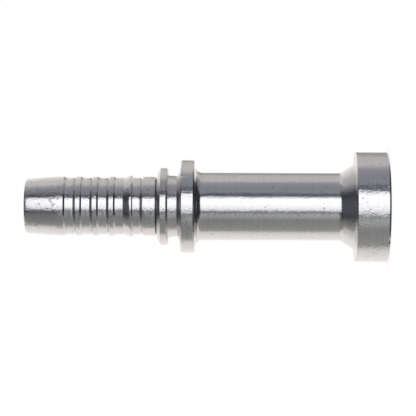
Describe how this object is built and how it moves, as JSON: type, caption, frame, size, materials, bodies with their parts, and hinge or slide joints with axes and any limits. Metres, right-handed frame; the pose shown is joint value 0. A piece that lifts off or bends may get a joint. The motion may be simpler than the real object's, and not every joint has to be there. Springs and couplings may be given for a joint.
{
  "type": "flange hose fitting",
  "caption": "One-piece straight flange hose fitting: thick flange head with a face-seal groove, plain shank, stop and lock collars for a ferrule, and a ridged hose tail.",
  "frame": {"origin": "centre of the sealing face of the flange head, which the part stands on", "axes": "+Z along the bore, from the sealing face to the tip of the hose tail; X and Y are equal, because the part is round"},
  "size_m": [0.0476, 0.0476, 0.1569],
  "materials": {
    "zinc_plated_steel": "bright zinc plating over a fine turned surface, with light scratches and dings"
  },
  "bodies": {
    "root": {"hose_fitting": "zinc_plated_steel"}
  },
  "joints": []
}
